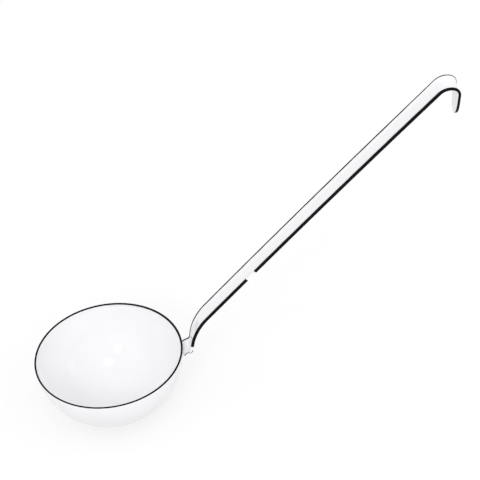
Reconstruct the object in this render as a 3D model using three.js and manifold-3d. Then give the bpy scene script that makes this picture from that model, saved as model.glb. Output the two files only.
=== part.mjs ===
// An enamelled steel ladle: a deep round bowl, a pressed strip handle that rises from the bowl's rim and
// turns over into a hook, a weld between the two, and black enamel on the rim and the handle's edges.
// Millimetres. The bowl's mouth faces +Z, the handle leaves it towards +X, and the origin is the middle
// of the flat under the bowl.

import * as THREE from "three";
import { mergeVertices } from "three/addons/utils/BufferGeometryUtils.js";
import Module from "manifold-3d";

const wasm = await Module();
wasm.setup();

// Bowl: the round is pressed slightly shallower than a half ball, and its base is set flat.
const bowlRadius = 50; // outside, at the rim
const bowlRoundDepth = 48; // from the rim to the lowest point of the round, before the base is flattened
const bowlWall = 1.1; // steel with white enamel on both faces
const baseFlatRadius = 7;

// Black enamel over the edge of the bowl's rim.
const rimEdgingHeight = 0.45;
const rimEdgingRound = 0.35;

// Handle strip: a flat land along each edge, and between the lands a shallow dish.
const stripWidth = 14;
const stripThickness = 1.4; // steel with white enamel on both faces
const landWidth = 0.5;
const dishDepth = 0.8;
const dishSideWidth = 4.3; // from a land to the dish's flat floor
const dishRunOut = 16; // length over which the dish grows shallow towards the hook's end

// Side view of the handle, walked along the lands' upper face from the bowl to the end of the hook.
// Angles are in degrees above the rim's plane, and radii are those of the walked line.
const neckDrop = 3.1; // rim to the lands' upper face, where the handle meets the bowl
const neckAngle = 24.7;
const neckLength = 4.1;
const neckBendRadius = 2.7;
const riserAngle = 80.2;
const riserLength = 2.1;
const shoulderRadius = 46.8;
const shankAngle = 46.5;
const shankLength = 220.7;
const shankBow = 1.6; // the shank bends over this much along its length
const crookRadius = 9.5; // the hook's wider first bend
const crookTurn = 63.2;
const hookRadius = 5.4;
const tipAngle = -96.5;
const tipLength = 5.5; // from the hook's bend to the round of its end
const tipRoundLength = 10.2; // the end is half an ellipse as wide as the strip and this long

// Black enamel along the handle's edges, with one short break on the near side.
const edgingThickness = 0.25;
const edgingStartAboveNeck = 3.0; // near side, from the end of the neck's bend
const edgingBreakOnShank = 42; // near side, from the end of the shoulder
const edgingBreakLength = 8.4;

// Weld under the neck.
const weldLeg = 1.6;
const weldWidth = 11;
const weldClearance = 0.3; // also kept between the handle's end and the bowl's wall

// How finely round forms are divided.
const roundSegments = 72;
const bowlSteps = 10;
const cornerSteps = 3;
const dishSteps = 4;
const stepAngle = 10;

const radians = THREE.MathUtils.degToRad;

// Height of the rim above the flat base.
const bowlHeight = bowlRoundDepth * Math.sqrt(1 - (baseFlatRadius / bowlRadius) ** 2);

// Radius at a height of the bowl's round, moved outwards by a margin (inwards if negative).
function bowlRadiusAt(height, margin) {
  const share = (bowlHeight - height) / (bowlRoundDepth + margin);
  return (bowlRadius + margin) * Math.sqrt(1 - share ** 2);
}

// Points up the bowl's round from one height to another, spread evenly by angle.
function bowlCurve(fromHeight, toHeight, margin) {
  const depth = bowlRoundDepth + margin;
  const fromAngle = Math.asin((bowlHeight - fromHeight) / depth);
  const toAngle = Math.asin((bowlHeight - toHeight) / depth);
  return Array.from({ length: bowlSteps + 1 }, (_, step) => {
    const angle = THREE.MathUtils.lerp(fromAngle, toAngle, step / bowlSteps);
    return new THREE.Vector2((bowlRadius + margin) * Math.cos(angle), bowlHeight - depth * Math.sin(angle));
  });
}

// A solid turned round the Z axis from points (radius, height).
function turned(points) {
  return new THREE.LatheGeometry(points, roundSegments).rotateX(Math.PI / 2);
}

function bowlGeometry() {
  const wallTop = bowlHeight - rimEdgingHeight;
  return turned([
    new THREE.Vector2(0, 0),
    ...bowlCurve(0, wallTop, 0),
    ...bowlCurve(bowlWall, wallTop, -bowlWall).reverse(),
    new THREE.Vector2(0, bowlWall),
  ]);
}

// A quarter round about a centre, from one angle to another.
function quarterRound(centreRadius, centreHeight, fromAngle) {
  return Array.from({ length: cornerSteps + 1 }, (_, step) => {
    const angle = radians(fromAngle + (90 * step) / cornerSteps);
    return new THREE.Vector2(
      centreRadius + rimEdgingRound * Math.cos(angle),
      centreHeight + rimEdgingRound * Math.sin(angle),
    );
  });
}

function rimEdgingGeometry() {
  const foot = bowlHeight - rimEdgingHeight;
  const roundHeight = bowlHeight - rimEdgingRound;
  const outerFoot = new THREE.Vector2(bowlRadiusAt(foot, 0), foot);
  const innerFoot = new THREE.Vector2(bowlRadiusAt(foot, -bowlWall), foot);
  return turned([
    outerFoot,
    ...quarterRound(bowlRadius - rimEdgingRound, roundHeight, 0),
    ...quarterRound(bowlRadius - bowlWall + rimEdgingRound, roundHeight, 90),
    innerFoot,
    outerFoot,
  ]);
}

// The handle starts inside the bowl's wall, and the wall's shape is then cut from it.
const neckTuck = bowlRadius - Math.sqrt(bowlRadius ** 2 - (stripWidth / 2) ** 2) + bowlWall;
const handleStart = {
  x: bowlRadius - neckTuck * Math.cos(radians(neckAngle)),
  z: bowlHeight - neckDrop - neckTuck * Math.sin(radians(neckAngle)),
};

function straight(length) {
  return { length, turn: 0 };
}

function bend(radius, turnDegrees) {
  const turn = radians(turnDegrees);
  return { length: radius * Math.abs(turn), turn };
}

const neck = straight(neckTuck + neckLength);
const neckBend = bend(neckBendRadius, riserAngle - neckAngle);
const riser = straight(riserLength);
const shoulder = bend(shoulderRadius, shankAngle - riserAngle);
const shank = { length: shankLength, turn: radians(-shankBow) };
const crook = bend(crookRadius, -crookTurn);
const hook = bend(hookRadius, tipAngle - (shankAngle - shankBow - crookTurn));
const tip = straight(tipLength);
const tipRound = straight(tipRoundLength);
const stretches = [neck, neckBend, riser, shoulder, shank, crook, hook, tip, tipRound];

// Distance along the handle at which a stretch begins.
function startOf(stretch) {
  const before = stretches.slice(0, stretches.indexOf(stretch));
  return before.reduce((sum, { length }) => sum + length, 0);
}

// Place, heading and upward direction at a distance along the handle.
function placeAt(distance) {
  let { x, z } = handleStart;
  let heading = radians(neckAngle);
  let left = distance;
  for (const { length, turn } of stretches) {
    const walked = Math.min(left, length);
    const halfTurn = (turn * walked) / length / 2;
    const chord = halfTurn === 0 ? walked : (walked * Math.sin(halfTurn)) / halfTurn;
    x += chord * Math.cos(heading + halfTurn);
    z += chord * Math.sin(heading + halfTurn);
    heading += 2 * halfTurn;
    left -= walked;
  }
  return {
    point: new THREE.Vector3(x, 0, z),
    along: new THREE.Vector3(Math.cos(heading), 0, Math.sin(heading)),
    up: new THREE.Vector3(-Math.sin(heading), 0, Math.cos(heading)),
  };
}

const roundStart = startOf(tipRound);
const handleEnd = roundStart + tipRoundLength;
const edgingStarts = {
  far: neckTuck + weldClearance,
  near: startOf(riser) + edgingStartAboveNeck,
  breakStart: startOf(shank) + edgingBreakOnShank,
  breakEnd: startOf(shank) + edgingBreakOnShank + edgingBreakLength,
};

// Distances at which the handle's section is set: the ends of each stretch, even steps round its bends,
// and the ends of each run of edging.
function sectionDistances() {
  const distances = [...Object.values(edgingStarts), handleEnd];
  for (const stretch of stretches) {
    const steps = Math.ceil(Math.abs(THREE.MathUtils.radToDeg(stretch.turn)) / stepAngle) || 1;
    for (let step = 0; step < steps; step += 1) {
      distances.push(startOf(stretch) + (stretch.length * step) / steps);
    }
  }
  for (let angle = stepAngle * 2; angle < 90; angle += stepAngle * 2) {
    distances.push(roundStart + tipRoundLength * Math.sin(radians(angle)));
  }
  return distances.sort((a, b) => a - b);
}

// The round of the tip's end takes in the strip up to its lands, which meet in a short straight end.
const roundHalfWidth = stripWidth / 2 - landWidth;

// How far the outline has gone round the tip's end, as a sine and a cosine.
function roundTurn(distance) {
  const sine = Math.max(0, distance - roundStart) / tipRoundLength;
  return { sine, cosine: Math.sqrt(Math.max(0, 1 - sine ** 2)) };
}

function halfWidthAt(distance) {
  return landWidth + roundHalfWidth * roundTurn(distance).cosine;
}

// Depth of the dish at a distance along the handle and a distance from the strip's nearest edge.
function dishDepthAt(distance, edgeDistance) {
  const floorDepth = dishDepth * Math.min(1, (handleEnd - distance) / dishRunOut);
  const climb = 1 - (edgeDistance - landWidth) / dishSideWidth;
  return floorDepth * (1 - THREE.MathUtils.clamp(climb, 0, 1) ** 2);
}

// Places across half of the strip at which its section turns, from the edge inwards, as shares of the half.
const acrossShares = [1];
for (let step = 0; step <= dishSteps; step += 1) {
  const edgeDistance = landWidth + (dishSideWidth * step) / dishSteps;
  acrossShares.push(1 - edgeDistance / (stripWidth / 2));
}

// The strip's section at a distance along the handle: the underside from near to far, then the top back.
function stripRing(distance) {
  const { point, up } = placeAt(distance);
  const half = halfWidthAt(distance);
  const fromEdge = acrossShares.map((share) => share * half);
  const across = [...fromEdge.map((side) => -side), ...fromEdge.toReversed()];
  const at = (side, height) => new THREE.Vector3(0, side, 0).addScaledVector(up, height).add(point);
  const depth = (side) => dishDepthAt(distance, half - Math.abs(side));
  return [
    ...across.map((side) => at(side, -depth(side) - stripThickness)),
    ...across.toReversed().map((side) => at(side, -depth(side))),
  ];
}

// A closed solid through rings of points, each with as many points as the next.
function loft(rings) {
  const count = rings[0].length;
  const last = (rings.length - 1) * count;
  const triangles = [];
  for (let start = 0; start < last; start += count) {
    for (let i = 0; i < count; i += 1) {
      const a = start + i;
      const b = start + ((i + 1) % count);
      triangles.push(a, b, a + count, b, b + count, a + count);
    }
  }
  capTriangles(rings[0]).forEach(([a, b, c]) => triangles.push(a, c, b));
  capTriangles(rings.at(-1)).forEach(([a, b, c]) => triangles.push(last + a, last + b, last + c));
  return new THREE.BufferGeometry().setFromPoints(rings.flat()).setIndex(triangles);
}

// Triangles that fill a flat ring, in the ring's own turning direction.
function capTriangles(ring) {
  const normal = new THREE.Vector3();
  ring.forEach((point, i) => {
    const next = ring[(i + 1) % ring.length];
    normal.add(point.clone().sub(ring[0]).cross(next.clone().sub(ring[0])));
  });
  const flatten = new THREE.Quaternion().setFromUnitVectors(normal.normalize(), new THREE.Vector3(0, 0, 1));
  const flat = ring.map((point) => point.clone().sub(ring[0]).applyQuaternion(flatten));
  return THREE.ShapeUtils.triangulateShape(flat.map(({ x, y }) => new THREE.Vector2(x, y)), []);
}

// A geometry as a solid that can be cut.
function solid(geometry) {
  const bare = geometry.clone();
  bare.deleteAttribute("normal");
  bare.deleteAttribute("uv");
  const merged = mergeVertices(bare, 1e-4);
  const vertProperties = new Float32Array(merged.attributes.position.array);
  const triVerts = new Uint32Array(merged.index.array);
  return new wasm.Manifold(new wasm.Mesh({ numProp: 3, vertProperties, triVerts }));
}

function geometryOf(made) {
  const { vertProperties, triVerts } = made.getMesh();
  const geometry = new THREE.BufferGeometry();
  geometry.setAttribute("position", new THREE.BufferAttribute(vertProperties, 3));
  geometry.setIndex(new THREE.BufferAttribute(triVerts, 1));
  return geometry;
}

const distances = sectionDistances();

// The strip, with its end shaped to the bowl's wall.
function handleGeometry() {
  const strip = loft(distances.map(stripRing));
  const bowlRound = turned([
    new THREE.Vector2(0, 0),
    ...bowlCurve(0, bowlHeight, weldClearance),
    new THREE.Vector2(0, bowlHeight),
  ]);
  return geometryOf(solid(strip).subtract(solid(bowlRound)));
}

// One ring of edging: over the land, down the strip's edge, and back at the enamel's thickness.
// The side is 1 on the far edge and -1 on the near one.
function edgingRing(distance, side) {
  const { point, along, up } = placeAt(distance);
  const { sine, cosine } = roundTurn(distance);
  const sideways = new THREE.Vector3(0, side * cosine * tipRoundLength, 0);
  const outward = sideways.addScaledVector(along, sine * roundHalfWidth).normalize();
  const edge = point.clone().add(new THREE.Vector3(0, side * halfWidthAt(distance), 0));
  const at = (out, height) => edge.clone().addScaledVector(outward, out).addScaledVector(up, height);
  return [
    at(-landWidth, 0),
    at(0, 0),
    at(0, -stripThickness),
    at(edgingThickness, -stripThickness),
    at(edgingThickness, edgingThickness),
    at(-landWidth, edgingThickness),
  ];
}

function edgingRings(from, to, side) {
  const run = distances.filter((distance) => distance >= from && distance <= to);
  return run.map((distance) => edgingRing(distance, side));
}

// Up the far edge, round the end of the hook and down the near edge to the break.
function longEdgingGeometry() {
  return loft([
    ...edgingRings(edgingStarts.far, handleEnd, 1),
    ...edgingRings(edgingStarts.breakEnd, handleEnd, -1).reverse(),
  ]);
}

// Down the near edge from the break to the riser.
function shortEdgingGeometry() {
  return loft(edgingRings(edgingStarts.near, edgingStarts.breakStart, -1).reverse());
}

// Height of the neck's underside above a place in the XY plane.
function neckUnderside(x, y) {
  const slope = Math.tan(radians(neckAngle));
  const depth = stripThickness + dishDepthAt(0, stripWidth / 2 - Math.abs(y));
  return handleStart.z + (x - handleStart.x) * slope - depth / Math.cos(radians(neckAngle));
}

// A fillet in the corner between the bowl's wall and the neck's underside.
function weldGeometry() {
  const halfAngle = Math.asin(weldWidth / 2 / bowlRadius);
  const steps = 2 * dishSteps;
  const drop = weldClearance / Math.cos(radians(neckAngle));
  const rings = [];
  for (let step = 0; step <= steps; step += 1) {
    const angle = THREE.MathUtils.lerp(halfAngle, -halfAngle, step / steps);
    const across = new THREE.Vector3(Math.cos(angle), Math.sin(angle), 0);
    const at = (radius, height) => across.clone().multiplyScalar(radius).setZ(height);
    const underside = (radius) => neckUnderside(radius * across.x, radius * across.y) - drop;
    const wallRadius = bowlRadiusAt(underside(bowlRadius), weldClearance);
    const top = underside(wallRadius);
    const foot = top - weldLeg;
    rings.push([
      at(wallRadius, top),
      at(bowlRadiusAt(foot, weldClearance), foot),
      at(wallRadius + weldLeg, underside(wallRadius + weldLeg)),
    ]);
  }
  return loft(rings);
}

const whiteEnamel = { color: 0xf3f3f6, roughness: 0.16, metalness: 0 };
const blackEnamel = { color: 0x14161b, roughness: 0.14, metalness: 0 };

function piece(name, geometry, finish) {
  const mesh = new THREE.Mesh(geometry, new THREE.MeshStandardMaterial(finish));
  mesh.name = name;
  return mesh;
}

const bowl = new THREE.Group();
bowl.add(piece("bowl", bowlGeometry(), whiteEnamel));
bowl.add(piece("bowl_rim_edging", rimEdgingGeometry(), blackEnamel));

const handle = new THREE.Group();
handle.add(piece("handle", handleGeometry(), whiteEnamel));
handle.add(piece("handle_edging_long", longEdgingGeometry(), blackEnamel));
handle.add(piece("handle_edging_short", shortEdgingGeometry(), blackEnamel));
handle.add(piece("neck_weld", weldGeometry(), whiteEnamel));

const ladle = new THREE.Group();
ladle.add(bowl, handle);

export default ladle;
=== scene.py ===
import math

import bmesh
import bpy
from mathutils import Matrix, Vector


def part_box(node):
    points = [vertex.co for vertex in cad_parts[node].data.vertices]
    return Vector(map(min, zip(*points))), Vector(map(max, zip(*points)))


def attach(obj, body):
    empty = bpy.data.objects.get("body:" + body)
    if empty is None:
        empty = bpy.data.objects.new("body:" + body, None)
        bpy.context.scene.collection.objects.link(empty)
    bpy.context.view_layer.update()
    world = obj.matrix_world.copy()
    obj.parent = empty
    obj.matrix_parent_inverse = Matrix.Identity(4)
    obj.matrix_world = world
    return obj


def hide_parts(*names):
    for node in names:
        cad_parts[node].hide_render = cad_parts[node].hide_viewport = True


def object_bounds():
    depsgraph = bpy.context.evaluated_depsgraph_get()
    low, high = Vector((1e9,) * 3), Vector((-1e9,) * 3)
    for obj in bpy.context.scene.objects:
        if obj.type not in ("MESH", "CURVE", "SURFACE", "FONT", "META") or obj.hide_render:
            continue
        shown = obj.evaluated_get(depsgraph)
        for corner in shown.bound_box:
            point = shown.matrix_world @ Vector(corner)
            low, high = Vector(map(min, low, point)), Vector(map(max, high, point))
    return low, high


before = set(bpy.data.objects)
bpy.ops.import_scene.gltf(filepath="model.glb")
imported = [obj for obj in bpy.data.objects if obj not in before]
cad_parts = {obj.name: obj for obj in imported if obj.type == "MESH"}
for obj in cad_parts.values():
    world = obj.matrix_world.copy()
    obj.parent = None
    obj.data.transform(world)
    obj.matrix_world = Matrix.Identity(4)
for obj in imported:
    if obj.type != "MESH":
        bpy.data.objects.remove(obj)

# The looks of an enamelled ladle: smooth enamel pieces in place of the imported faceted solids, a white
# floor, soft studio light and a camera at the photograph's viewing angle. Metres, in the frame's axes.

MM = 0.001
CAD_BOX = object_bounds()

# Bowl, from the frame's boxes and the part's own driving sizes.
RIM_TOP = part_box("bowl_rim_edging")[1]
BOWL_RADIUS = RIM_TOP.x
BOWL_HEIGHT = RIM_TOP.z
BOWL_ROUND_DEPTH = 48 * MM
BOWL_WALL = 1.1 * MM
RIM_EDGING_HEIGHT = BOWL_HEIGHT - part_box("bowl")[1].z
RIM_EDGING_ROUND = 0.3 * MM
RIM_EDGING_INSIDE = 0.35 * MM  # how far the black reaches down inside, under its round
RIM_EDGING_BEAD = 0.3 * MM  # how far it stands out inside on average, from nothing to twice this
RIM_EDGING_BROADEST = math.radians(60)  # direction from the bowl's middle in which that is most
RIM_EDGING_THINNED = 0.6  # share of it that is missing beside the neck
RIM_EDGING_THIN_MIDDLE = math.radians(-8)
RIM_EDGING_THIN_REACH = math.radians(20)

# Handle strip: its section, then its side view walked from the bowl to the end of the hook.
STRIP_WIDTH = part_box("handle")[1].y * 2
STRIP_THICKNESS = 1.4 * MM
STRIP_CORNER = 0.15 * MM
LAND_WIDTH = 0.5 * MM
DISH_DEPTH = 0.8 * MM
DISH_SIDE_WIDTH = 4.3 * MM
DISH_RUN_OUT = 16 * MM
NECK_DROP = 3.1 * MM
NECK_ANGLE = math.radians(24.7)
NECK_LENGTH = 4.1 * MM
NECK_BEND_RADIUS = 2.7 * MM
RISER_ANGLE = math.radians(80.2)
RISER_LENGTH = 2.1 * MM
SHOULDER_RADIUS = 46.8 * MM
SHANK_ANGLE = math.radians(46.5)
SHANK_LENGTH = 220.7 * MM
SHANK_BOW = math.radians(1.6)
CROOK_RADIUS = 9.5 * MM
CROOK_TURN = math.radians(63.2)
HOOK_RADIUS = 5.4 * MM
TIP_ANGLE = math.radians(-96.5)
TIP_LENGTH = 5.5 * MM
TIP_ROUND_LENGTH = 10.2 * MM
NECK_BURY = 0.7 * MM  # how far the neck runs into the bowl's wall, so that no gap shows

# Black edging on the handle.
EDGING_THICKNESS = 0.24 * MM  # 0.01 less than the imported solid, to keep within its box
EDGING_START_ABOVE_NECK = 3.0 * MM
EDGING_BREAK_ON_SHANK = 42 * MM
EDGING_BREAK_LENGTH = 8.4 * MM
EDGING_LIP = 0.25 * MM  # how far the black runs past the land, down into the dish
EDGING_FADE = 45 * MM  # the length before the crook over which the far side's lip draws back
EDGING_LIP_BACK = 0.1 * MM
EDGING_WRAP = 0.45 * MM  # how far it hangs below the strip's underside on the near side
EDGING_WRAP_FADE = 14 * MM  # the length from the crook on over which that draws back
EDGING_WAVER = 0.06 * MM  # the hand-drawn line is not quite straight
EDGING_WAVER_LENGTH = 17 * MM
THREAD_THICKNESS = 0.45 * MM  # black traces on the near side of the neck: partly edging, partly painted shade along its edges and in the crevice at the bowl
THREAD_INSET = 1.1 * MM
THREAD_END_SHARE = 0.1  # of its thickness, at the ends
THREAD_BLUNTNESS = 0.4  # below 1 it keeps its thickness until near the ends

# Weld under the neck.
WELD_LEG = 1.6 * MM
WELD_WIDTH = 11 * MM

# How finely round forms are divided.
ROUND_SEGMENTS = 192
BOWL_STEPS = 64
CORNER_STEPS = 6
DISH_STEPS = 10
BEND_STEP = math.radians(2.5)
STRAIGHT_STEP = 3 * MM
WELD_STEPS = 24
THREAD_STEPS = 12
THREAD_SIDES = 24
SHARP_ANGLE = math.radians(50)
MERGE_DISTANCE = 0.0001 * MM

# Enamel, with the scales of its textures.
WHITE_ENAMEL = {
    "base": (0.905, 0.905, 0.92),
    "variation": 0.02,
    "roughness": 0.09,
    "specular": 0.5,
    "speck": (0.35, 0.36, 0.4),
}
BLACK_ENAMEL = {
    "base": (0.0045, 0.005, 0.008),
    "variation": 0.3,
    "roughness": 0.12,
    "specular": 0.05,
    "speck": (0.05, 0.05, 0.055),
}
ENAMEL_IOR = 1.52
MOTTLE_SCALE = 55
GLOSS_SCALE = 140
GLOSS_SPREAD = 0.3  # as a share of the roughness, either way
PEEL_SCALE = 420
PEEL_STRENGTH = 0.25
PEEL_DEPTH = 0.02 * MM
SPECK_SCALE = 400
SPECK_RADIUS = 0.06  # of a cell of the pattern, as is the next
SPECK_CORE = 0.03
SPECK_SHARE = 0.1  # of the cells have a speck

# Floor, room and lamps. A strength of 1 is white.
FLOOR_GAP = 0.02 * MM  # keeps the floor's face apart from the bowl's flat
FLOOR_SIZE = 12
FLOOR_GLOW = 0.68  # together with the next, the floor reads as white where no shadow falls
FLOOR_SEEN = 0.3
FLOOR_LIGHTING = 0.66  # how pale it is as a source of light on the ladle
ROOM_BRIGHT_SIDE = Vector((0, -0.87, 0.5)).normalized()
ROOM_DIMMEST = 0.4
ROOM_BRIGHTEST = 1.26
LAMP_DISTANCE = 3
LAMPS = {  # name: (direction from the bowl, side, radiance)
    "softbox_left": ((-0.206, -0.740, 0.641), 0.5, 12),
    "softbox_top": ((0.093, -0.458, 0.884), 0.5, 5),
    "softbox_right": ((0.9, -0.2, 0.3), 1, 1.8),
}

# The photograph's camera.
IMAGE_SIZE = 480
SENSOR_WIDTH = 36
FOCAL_PIXELS = 1548.7
CAMERA_AZIMUTH = math.radians(-1.21)
CAMERA_ELEVATION = math.radians(40.28)
CAMERA_ROLL = math.radians(-6.21)
CAMERA_DISTANCE = 1037.7 * MM  # along the view, to the middle of the rim
RIM_CENTRE_PIXEL = (108.42, 353.55)


# Enamel materials

def enamel(name, base, variation, roughness, specular, speck):
    """Glossy enamel: a mottled colour, sparse specks, uneven gloss and a faint orange-peel bump."""
    material = bpy.data.materials.new(name)
    material.use_nodes = True
    nodes = material.node_tree.nodes
    links = material.node_tree.links
    shader = nodes["Principled BSDF"]
    shader.inputs["IOR"].default_value = ENAMEL_IOR
    shader.inputs["Specular IOR Level"].default_value = specular
    place = nodes.new("ShaderNodeTexCoord").outputs["Object"]

    mottle = noise(nodes, links, place, MOTTLE_SCALE, detail=4)
    colours = nodes.new("ShaderNodeValToRGB")
    colours.color_ramp.elements[0].position = 0.3
    colours.color_ramp.elements[0].color = (*[c * (1 - variation) for c in base], 1)
    colours.color_ramp.elements[1].position = 0.7
    colours.color_ramp.elements[1].color = (*base, 1)
    links.new(mottle, colours.inputs["Fac"])

    mix = nodes.new("ShaderNodeMix")
    mix.data_type = "RGBA"
    mix.inputs["B"].default_value = (*speck, 1)
    links.new(specks(nodes, links, place), mix.inputs["Factor"])
    links.new(colours.outputs["Color"], mix.inputs["A"])
    links.new(mix.outputs["Result"], shader.inputs["Base Color"])

    gloss = nodes.new("ShaderNodeMapRange")
    gloss.inputs["To Min"].default_value = roughness * (1 - GLOSS_SPREAD)
    gloss.inputs["To Max"].default_value = roughness * (1 + GLOSS_SPREAD)
    links.new(noise(nodes, links, place, GLOSS_SCALE, detail=3), gloss.inputs["Value"])
    links.new(gloss.outputs["Result"], shader.inputs["Roughness"])

    bump = nodes.new("ShaderNodeBump")
    bump.inputs["Strength"].default_value = PEEL_STRENGTH
    bump.inputs["Distance"].default_value = PEEL_DEPTH
    links.new(noise(nodes, links, place, PEEL_SCALE, detail=2), bump.inputs["Height"])
    links.new(bump.outputs["Normal"], shader.inputs["Normal"])
    return material


def noise(nodes, links, place, scale, detail):
    """The value of a noise texture at a place."""
    texture = nodes.new("ShaderNodeTexNoise")
    texture.inputs["Scale"].default_value = scale
    texture.inputs["Detail"].default_value = detail
    links.new(place, texture.inputs["Vector"])
    return texture.outputs["Fac"]


def specks(nodes, links, place):
    """A mask of pinholes: small dots in a few of the cells of a pattern."""
    cells = nodes.new("ShaderNodeTexVoronoi")
    cells.inputs["Scale"].default_value = SPECK_SCALE
    links.new(place, cells.inputs["Vector"])
    dot = nodes.new("ShaderNodeMapRange")
    dot.inputs["From Min"].default_value = SPECK_RADIUS
    dot.inputs["From Max"].default_value = SPECK_CORE
    links.new(cells.outputs["Distance"], dot.inputs["Value"])
    chosen = nodes.new("ShaderNodeMath")
    chosen.operation = "GREATER_THAN"
    chosen.inputs[1].default_value = 1 - SPECK_SHARE
    split = nodes.new("ShaderNodeSeparateColor")
    links.new(cells.outputs["Color"], split.inputs["Color"])
    links.new(split.outputs["Red"], chosen.inputs[0])
    both = nodes.new("ShaderNodeMath")
    both.operation = "MULTIPLY"
    links.new(dot.outputs["Result"], both.inputs[0])
    links.new(chosen.outputs["Value"], both.inputs[1])
    return both.outputs["Value"]


# Meshes

def add_piece(name, shapes, material, node):
    """A finished piece, of one or more shapes, that stands for a node of the frame."""
    points = []
    faces = []
    for shape_points, shape_faces in shapes:
        faces += [[len(points) + index for index in face] for face in shape_faces]
        points += shape_points
    mesh = bpy.data.meshes.new(name)
    mesh.from_pydata(points, [], faces)
    tidy = bmesh.new()
    tidy.from_mesh(mesh)
    bmesh.ops.remove_doubles(tidy, verts=tidy.verts, dist=MERGE_DISTANCE)
    bmesh.ops.recalc_face_normals(tidy, faces=tidy.faces)
    tidy.to_mesh(mesh)
    tidy.free()
    mesh.shade_smooth()
    mesh.set_sharp_from_angle(angle=SHARP_ANGLE)
    mesh.materials.append(material)
    piece = bpy.data.objects.new(name, mesh)
    bpy.context.scene.collection.objects.link(piece)
    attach(piece, "root")
    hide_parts(node)


def loft(rings, closed=False):
    """Points and faces of a skin through rings, with filled ends unless the last ring meets the first."""
    count = len(rings[0])
    faces = []
    spans = len(rings) if closed else len(rings) - 1
    for span in range(spans):
        here = span * count
        there = (span + 1) % len(rings) * count
        for i in range(count):
            j = (i + 1) % count
            faces.append((here + i, here + j, there + j, there + i))
    if not closed:
        faces.append(tuple(reversed(range(count))))
        faces.append(tuple((len(rings) - 1) * count + i for i in range(count)))
    return [point for ring in rings for point in ring], faces


def turned(profile_at):
    """Points and faces of a closed profile (radius, height) turned round Z, which may change on the way."""
    rings = []
    for step in range(ROUND_SEGMENTS):
        angle = 2 * math.pi * step / ROUND_SEGMENTS
        rings.append([(r * math.cos(angle), r * math.sin(angle), z) for r, z in profile_at(angle)])
    return loft(rings, closed=True)


def arc(centre, radius, start, end, steps):
    """Points of an arc in a plane, angles in degrees."""
    angles = [math.radians(start + (end - start) * i / steps) for i in range(steps + 1)]
    return [(centre[0] + radius * math.cos(a), centre[1] + radius * math.sin(a)) for a in angles]


# Bowl

def bowl_curve(from_height, to_height, margin):
    """Points up the bowl's round from one height to another, moved outwards by a margin."""
    depth = BOWL_ROUND_DEPTH + margin
    radius = BOWL_RADIUS + margin
    start = math.asin(min(1, (BOWL_HEIGHT - from_height) / depth))
    end = math.asin((BOWL_HEIGHT - to_height) / depth)
    angles = [start + (end - start) * i / BOWL_STEPS for i in range(BOWL_STEPS + 1)]
    return [(radius * math.cos(a), BOWL_HEIGHT - depth * math.sin(a)) for a in angles]


OUTER_FOOT = BOWL_HEIGHT - RIM_EDGING_HEIGHT
INNER_FOOT = BOWL_HEIGHT - RIM_EDGING_ROUND - RIM_EDGING_INSIDE


def bowl_profile(_):
    inside_bottom = BOWL_HEIGHT - BOWL_ROUND_DEPTH + BOWL_WALL
    outside = bowl_curve(0, OUTER_FOOT, 0)
    inside = bowl_curve(inside_bottom, INNER_FOOT, -BOWL_WALL)
    return [(0, 0), *outside, *reversed(inside)]


def rim_profile(angle):
    from_thin = math.remainder(angle - RIM_EDGING_THIN_MIDDLE, 2 * math.pi) / RIM_EDGING_THIN_REACH
    kept = 1 - RIM_EDGING_THINNED * math.exp(-from_thin ** 2)
    bead = RIM_EDGING_BEAD * (1 + math.cos(angle - RIM_EDGING_BROADEST)) * kept
    height = BOWL_HEIGHT - RIM_EDGING_ROUND
    outer = (BOWL_RADIUS - RIM_EDGING_ROUND, height)
    inner = (BOWL_RADIUS - BOWL_WALL - bead + RIM_EDGING_ROUND, height)
    return [
        bowl_curve(0, OUTER_FOOT, 0)[-1],
        *arc(outer, RIM_EDGING_ROUND, 0, 90, CORNER_STEPS),
        *arc(inner, RIM_EDGING_ROUND, 90, 180, CORNER_STEPS),
        bowl_curve(BOWL_WALL, INNER_FOOT, -BOWL_WALL)[-1],
    ]


# Handle's side view

NECK_TUCK = BOWL_RADIUS - math.sqrt(BOWL_RADIUS ** 2 - (STRIP_WIDTH / 2) ** 2) + BOWL_WALL
HANDLE_START = Vector((
    BOWL_RADIUS - NECK_TUCK * math.cos(NECK_ANGLE),
    0,
    BOWL_HEIGHT - NECK_DROP - NECK_TUCK * math.sin(NECK_ANGLE),
))
HOOK_TURN = TIP_ANGLE - (SHANK_ANGLE - SHANK_BOW - CROOK_TURN)
STRETCHES = {  # name: (length, turn)
    "neck": (NECK_TUCK + NECK_LENGTH, 0),
    "neck_bend": (NECK_BEND_RADIUS * (RISER_ANGLE - NECK_ANGLE), RISER_ANGLE - NECK_ANGLE),
    "riser": (RISER_LENGTH, 0),
    "shoulder": (SHOULDER_RADIUS * (RISER_ANGLE - SHANK_ANGLE), SHANK_ANGLE - RISER_ANGLE),
    "shank": (SHANK_LENGTH, -SHANK_BOW),
    "crook": (CROOK_RADIUS * CROOK_TURN, -CROOK_TURN),
    "hook": (HOOK_RADIUS * -HOOK_TURN, HOOK_TURN),
    "tip": (TIP_LENGTH, 0),
    "tip_round": (TIP_ROUND_LENGTH, 0),
}


def start_of(name):
    """Distance along the handle at which a stretch begins."""
    names = list(STRETCHES)
    return sum(STRETCHES[before][0] for before in names[:names.index(name)])


def place_at(distance):
    """Point, heading and upward direction at a distance along the handle."""
    point = HANDLE_START.copy()
    heading = NECK_ANGLE
    left = distance
    for length, turn in STRETCHES.values():
        walked = min(left, length)
        half = turn * walked / length / 2
        chord = walked * (math.sin(half) / half if half else 1)
        point += chord * Vector((math.cos(heading + half), 0, math.sin(heading + half)))
        heading += 2 * half
        left -= walked
    along = Vector((math.cos(heading), 0, math.sin(heading)))
    up = Vector((-math.sin(heading), 0, math.cos(heading)))
    return point, along, up


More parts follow.
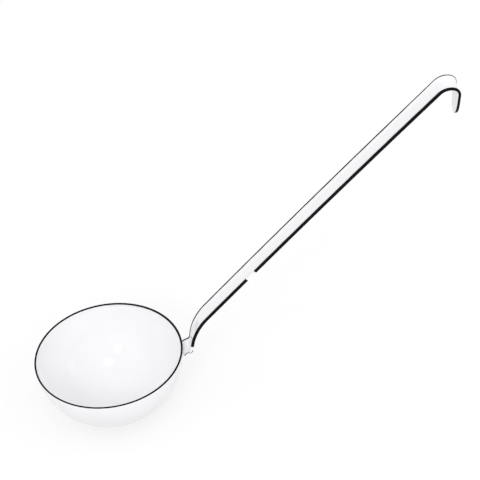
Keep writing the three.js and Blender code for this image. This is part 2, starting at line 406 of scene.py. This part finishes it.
ROUND_START = start_of("tip_round")
HANDLE_END = ROUND_START + TIP_ROUND_LENGTH
FAR_EDGING_START = NECK_TUCK
NEAR_EDGING_START = start_of("riser") + EDGING_START_ABOVE_NECK
BREAK_START = start_of("shank") + EDGING_BREAK_ON_SHANK
BREAK_END = BREAK_START + EDGING_BREAK_LENGTH


def section_distances():
    """Distances at which the handle's section is set."""
    marks = [NEAR_EDGING_START, BREAK_START, BREAK_END]
    for name, (length, turn) in STRETCHES.items():
        if name == "tip_round":
            continue
        steps = max(math.ceil(abs(turn) / BEND_STEP), math.ceil(length / STRAIGHT_STEP))
        marks += [start_of(name) + length * i / steps for i in range(steps)]
    quarter = math.pi / 2
    round_steps = math.ceil(quarter / BEND_STEP / 2)
    for i in range(round_steps + 1):
        marks.append(ROUND_START + TIP_ROUND_LENGTH * math.sin(quarter * i / round_steps))
    return sorted(marks)


DISTANCES = section_distances()
ROUND_HALF_WIDTH = STRIP_WIDTH / 2 - LAND_WIDTH


def round_turn(distance):
    """How far the outline has gone round the tip's end, as a sine and a cosine."""
    sine = min(1, max(0, distance - ROUND_START) / TIP_ROUND_LENGTH)
    return sine, math.sqrt(1 - sine ** 2)


def half_width_at(distance):
    return LAND_WIDTH + ROUND_HALF_WIDTH * round_turn(distance)[1]


def dish_depth_at(distance, edge_distance):
    """Depth of the dish at a distance along the handle and a distance from the nearest edge."""
    floor = DISH_DEPTH * min(1, (HANDLE_END - distance) / DISH_RUN_OUT)
    climb = min(1, max(0, 1 - (edge_distance - LAND_WIDTH) / DISH_SIDE_WIDTH))
    return floor * (1 - climb ** 2)


# Handle's pieces

def strip_half_section(distance):
    """The strip's far half in section, from the underside's middle round to the top's middle."""
    half = half_width_at(distance)
    corner = min(STRIP_CORNER, half / 2)
    sides = [(half - corner) * i / DISH_STEPS for i in range(DISH_STEPS)]
    depths = [dish_depth_at(distance, half - side) for side in sides]
    underside = [(side, -depth - STRIP_THICKNESS) for side, depth in zip(sides, depths)]
    top = [(side, -depth) for side, depth in zip(sides, depths)]
    low_corner = arc((half - corner, corner - STRIP_THICKNESS), corner, -90, 0, CORNER_STEPS)
    high_corner = arc((half - corner, -corner), corner, 0, 90, CORNER_STEPS)
    return underside + low_corner + high_corner + top[::-1]


def neck_fall_back(side):
    """How much further the bowl's wall lies at one side of the neck than in its middle."""
    return (BOWL_RADIUS - math.sqrt(BOWL_RADIUS ** 2 - side ** 2)) / math.cos(NECK_ANGLE)


def strip_ring(distance):
    far_half = strip_half_section(distance)
    near_half = [(-side, height) for side, height in reversed(far_half[1:-1])]
    ring = []
    neck_end = STRETCHES["neck"][0]
    for side, height in far_half + near_half:
        start = NECK_TUCK - neck_fall_back(side) - NECK_BURY
        along = max(distance, start + (neck_end - start) * distance / neck_end)
        point, _, up = place_at(along)
        ring.append(point + Vector((0, side, 0)) + up * height)
    return ring


def edging_reach(distance, side):
    """How far the black runs past the land and below the strip. It draws back towards the hook."""
    past_shank = distance - start_of("crook")
    cosine = round_turn(distance)[1]
    if side > 0:
        fade = min(1, max(0, past_shank / EDGING_FADE + 1))
        return (EDGING_LIP - (EDGING_LIP + EDGING_LIP_BACK) * fade) * cosine, 0
    fade = min(1, max(0, past_shank / EDGING_WRAP_FADE))
    return EDGING_LIP * cosine, EDGING_WRAP * (1 - fade)


def edging_ring(distance, side):
    """A rounded coat over the land and the edge of the strip's far side (1) or near side (-1)."""
    point, along, up = place_at(distance)
    sine, cosine = round_turn(distance)
    outward = Vector((0, side * cosine * TIP_ROUND_LENGTH, 0)) + along * sine * ROUND_HALF_WIDTH
    outward.normalize()
    edge = point + Vector((0, side * half_width_at(distance), 0))
    waver = EDGING_WAVER * math.sin(2 * math.pi * distance / EDGING_WAVER_LENGTH + side)
    coat = EDGING_THICKNESS
    centre = coat - STRIP_CORNER
    reach, wrap = edging_reach(distance, side)
    lip = waver - LAND_WIDTH - reach
    section = [
        (lip, -coat),
        (lip, coat / 4),
        (lip + coat, coat),
        *arc((centre, centre), STRIP_CORNER, 90, 0, CORNER_STEPS),
        *arc((centre, STRIP_CORNER - STRIP_THICKNESS - wrap), STRIP_CORNER, 0, -90, CORNER_STEPS),
        (-LAND_WIDTH, coat - STRIP_THICKNESS),
    ]
    return [edge + outward * out + up * height for out, height in section]


def edging_rings(start, end, side):
    run = [distance for distance in [start, *DISTANCES, end] if start <= distance <= end]
    return [edging_ring(distance, side) for distance in sorted(set(run))]


def thread(start, end, height, height_end, thickness):
    """A trace of black on the near edge, thin at its ends, from one distance and height to another."""
    rings = []
    for step in range(THREAD_STEPS + 1):
        share = step / THREAD_STEPS
        point, along, up = place_at(start + (end - start) * share)
        run = along * (end - start) + up * (height_end - height)
        across = Vector((0, 1, 0))
        side = run.cross(across).normalized()
        radius = thickness / 2 * max(THREAD_END_SHARE, math.sin(math.pi * share) ** THREAD_BLUNTNESS)
        middle = point - across * (STRIP_WIDTH / 2) + up * (height + (height_end - height) * share)
        angles = [2 * math.pi * i / THREAD_SIDES for i in range(THREAD_SIDES)]
        rings.append([middle + (across * math.cos(a) + side * math.sin(a)) * radius for a in angles])
    return loft(rings)


def neck_shade_threads():
    """Black traces along the neck's upper edge, down its edge at the bowl and round the bend's lower edge:
    partly edging, partly painted shade at these edges and in the crevice where the neck meets the bowl.
    """
    bend_start = start_of("neck_bend")
    bend_end = start_of("riser")
    low = -STRIP_THICKNESS
    at_bowl = NECK_TUCK - neck_fall_back(STRIP_WIDTH / 2) + THREAD_INSET
    return [
        thread(at_bowl, bend_start + THREAD_INSET, 0, 0, THREAD_THICKNESS),
        # painted shade: a dark dash in the crevice where the neck's near edge meets the bowl
        thread(at_bowl + THREAD_THICKNESS, at_bowl, 0, low, THREAD_THICKNESS * 1.5),
        thread(bend_start, bend_end, low, low, THREAD_THICKNESS),
    ]


def neck_underside(x, y):
    """Height of the neck's underside above a place in the XY plane."""
    depth = STRIP_THICKNESS + dish_depth_at(0, STRIP_WIDTH / 2 - abs(y))
    rise = (x - HANDLE_START.x) * math.tan(NECK_ANGLE)
    return HANDLE_START.z + rise - depth / math.cos(NECK_ANGLE)


def weld_rings():
    """A hollow fillet in the corner between the bowl's wall and the neck's underside."""
    half_angle = math.asin(WELD_WIDTH / 2 / BOWL_RADIUS)
    rings = []
    for step in range(WELD_STEPS + 1):
        angle = half_angle * (1 - 2 * step / WELD_STEPS)
        across = Vector((math.cos(angle), math.sin(angle), 0))
        wall = across * (BOWL_RADIUS - NECK_BURY)
        tip = across * (BOWL_RADIUS + WELD_LEG)
        top = Vector((wall.x, wall.y, neck_underside(wall.x, wall.y) + NECK_BURY))
        edge = across * BOWL_RADIUS
        corner = Vector((edge.x, edge.y, neck_underside(edge.x, edge.y)))
        foot = Vector((wall.x, wall.y, corner.z - WELD_LEG))
        end = Vector((tip.x, tip.y, neck_underside(tip.x, tip.y)))
        inner_end = end + Vector((0, 0, NECK_BURY))
        shares = [i / CORNER_STEPS for i in range(CORNER_STEPS + 1)]
        face = [foot * (1 - t) ** 2 + corner * 2 * t * (1 - t) + end * t ** 2 for t in shares]
        rings.append([top, *face, inner_end])
    return rings


def build_ladle(white, black):
    add_piece("bowl_enamel", [turned(bowl_profile)], white, "bowl")
    add_piece("bowl_rim_enamel", [turned(rim_profile)], black, "bowl_rim_edging")
    strip = loft([strip_ring(distance) for distance in DISTANCES])
    add_piece("handle_enamel", [strip], white, "handle")
    far_run = edging_rings(FAR_EDGING_START, HANDLE_END, 1)
    near_run = edging_rings(BREAK_END, HANDLE_END, -1)
    long_edging = loft(far_run + near_run[::-1])
    add_piece("edging_long_enamel", [long_edging], black, "handle_edging_long")
    short_edging = loft(edging_rings(NEAR_EDGING_START, BREAK_START, -1))
    # The neck's black traces go with the short edging. They are partly painted shade.
    short_edging_and_shade_threads = [short_edging, *neck_shade_threads()]
    add_piece("edging_short_and_shade_threads_enamel", short_edging_and_shade_threads, black, "handle_edging_short")
    add_piece("weld_enamel", [loft(weld_rings())], white, "neck_weld")


# Stage, light and camera

def seen_directly(nodes, links):
    """1 for rays from the camera, from gloss and through glass, 0 for light that falls on the object."""
    path = nodes.new("ShaderNodeLightPath")
    total = path.outputs["Is Camera Ray"]
    for name in ("Is Glossy Ray", "Is Transmission Ray"):
        larger = nodes.new("ShaderNodeMath")
        larger.operation = "MAXIMUM"
        links.new(total, larger.inputs[0])
        links.new(path.outputs[name], larger.inputs[1])
        total = larger.outputs["Value"]
    return total


def build_floor():
    """A white floor that keeps a faint shadow: where it is seen, it partly glows by itself."""
    mesh = bpy.data.meshes.new("floor")
    low = CAD_BOX[0].z - FLOOR_GAP
    corners = [(-1, -1), (1, -1), (1, 1), (-1, 1)]
    half = FLOOR_SIZE / 2
    mesh.from_pydata([(x * half, y * half, low) for x, y in corners], [], [(0, 1, 2, 3)])
    material = bpy.data.materials.new("floor_white")
    material.use_nodes = True
    nodes = material.node_tree.nodes
    links = material.node_tree.links
    nodes.remove(nodes["Principled BSDF"])
    lit = nodes.new("ShaderNodeBsdfDiffuse")
    lit.inputs["Color"].default_value = (*[FLOOR_LIGHTING] * 3, 1)
    faint = nodes.new("ShaderNodeBsdfDiffuse")
    faint.inputs["Color"].default_value = (*[FLOOR_SEEN] * 3, 1)
    light = nodes.new("ShaderNodeEmission")
    light.inputs["Strength"].default_value = FLOOR_GLOW
    seen = nodes.new("ShaderNodeAddShader")
    links.new(faint.outputs["BSDF"], seen.inputs[0])
    links.new(light.outputs["Emission"], seen.inputs[1])
    mix = nodes.new("ShaderNodeMixShader")
    links.new(seen_directly(nodes, links), mix.inputs["Fac"])
    links.new(lit.outputs["BSDF"], mix.inputs[1])
    links.new(seen.outputs["Shader"], mix.inputs[2])
    links.new(mix.outputs["Shader"], nodes["Material Output"].inputs["Surface"])
    mesh.materials.append(material)
    floor = bpy.data.objects.new("floor", mesh)
    bpy.context.scene.collection.objects.link(floor)


def build_world():
    """A white room with more light from the camera's side and above, white where it is seen."""
    world = bpy.data.worlds.new("room")
    bpy.context.scene.world = world
    world.use_nodes = True
    nodes = world.node_tree.nodes
    links = world.node_tree.links
    facing = nodes.new("ShaderNodeVectorMath")
    facing.operation = "DOT_PRODUCT"
    facing.inputs[1].default_value = ROOM_BRIGHT_SIDE
    links.new(nodes.new("ShaderNodeTexCoord").outputs["Generated"], facing.inputs[0])
    strength = nodes.new("ShaderNodeMapRange")
    strength.inputs["From Min"].default_value = -1
    strength.inputs["To Min"].default_value = ROOM_DIMMEST
    strength.inputs["To Max"].default_value = ROOM_BRIGHTEST
    links.new(facing.outputs["Value"], strength.inputs["Value"])
    mix = nodes.new("ShaderNodeMix")
    mix.inputs["B"].default_value = 1
    links.new(seen_directly(nodes, links), mix.inputs["Factor"])
    links.new(strength.outputs["Result"], mix.inputs["A"])
    background = nodes["Background"]
    background.inputs["Color"].default_value = (1, 1, 1, 1)
    links.new(mix.outputs["Result"], background.inputs["Strength"])


def softbox(name, direction, side, radiance):
    """A square lamp that faces the bowl from a direction."""
    lamp = bpy.data.lights.new(name, "AREA")
    lamp.shape = "SQUARE"
    lamp.size = side
    lamp.energy = radiance * math.pi * side ** 2
    box = bpy.data.objects.new(name, lamp)
    bpy.context.scene.collection.objects.link(box)
    towards = Vector(direction).normalized()
    box.location = Vector((0, 0, BOWL_HEIGHT)) + towards * LAMP_DISTANCE
    box.rotation_euler = towards.to_track_quat("Z", "Y").to_euler()


def build_camera():
    right = Vector((math.cos(CAMERA_AZIMUTH), math.sin(CAMERA_AZIMUTH), 0))
    back = Vector((
        math.sin(CAMERA_AZIMUTH) * math.cos(CAMERA_ELEVATION),
        -math.cos(CAMERA_AZIMUTH) * math.cos(CAMERA_ELEVATION),
        math.sin(CAMERA_ELEVATION),
    ))
    up = back.cross(right)
    rolled_right = right * math.cos(CAMERA_ROLL) + up * math.sin(CAMERA_ROLL)
    rolled_up = up * math.cos(CAMERA_ROLL) - right * math.sin(CAMERA_ROLL)
    turn = Matrix((rolled_right, rolled_up, back)).transposed()
    scale = CAMERA_DISTANCE / FOCAL_PIXELS
    middle = IMAGE_SIZE / 2
    seen_at = Vector((
        (RIM_CENTRE_PIXEL[0] - middle) * scale,
        (middle - RIM_CENTRE_PIXEL[1]) * scale,
        -CAMERA_DISTANCE,
    ))
    data = bpy.data.cameras.new("camera")
    data.sensor_fit = "HORIZONTAL"
    data.sensor_width = SENSOR_WIDTH
    data.lens = FOCAL_PIXELS * SENSOR_WIDTH / IMAGE_SIZE
    camera = bpy.data.objects.new("camera", data)
    bpy.context.scene.collection.objects.link(camera)
    location = Vector((0, 0, BOWL_HEIGHT)) - turn @ seen_at
    camera.matrix_world = Matrix.Translation(location) @ turn.to_4x4()
    bpy.context.scene.camera = camera


build_ladle(enamel("white_enamel_gloss", **WHITE_ENAMEL), enamel("black_enamel_gloss", **BLACK_ENAMEL))
build_floor()
build_world()
for lamp_name, (lamp_direction, lamp_side, lamp_radiance) in LAMPS.items():
    softbox(lamp_name, lamp_direction, lamp_side, lamp_radiance)
build_camera()
bpy.context.scene.view_settings.view_transform = "Standard"
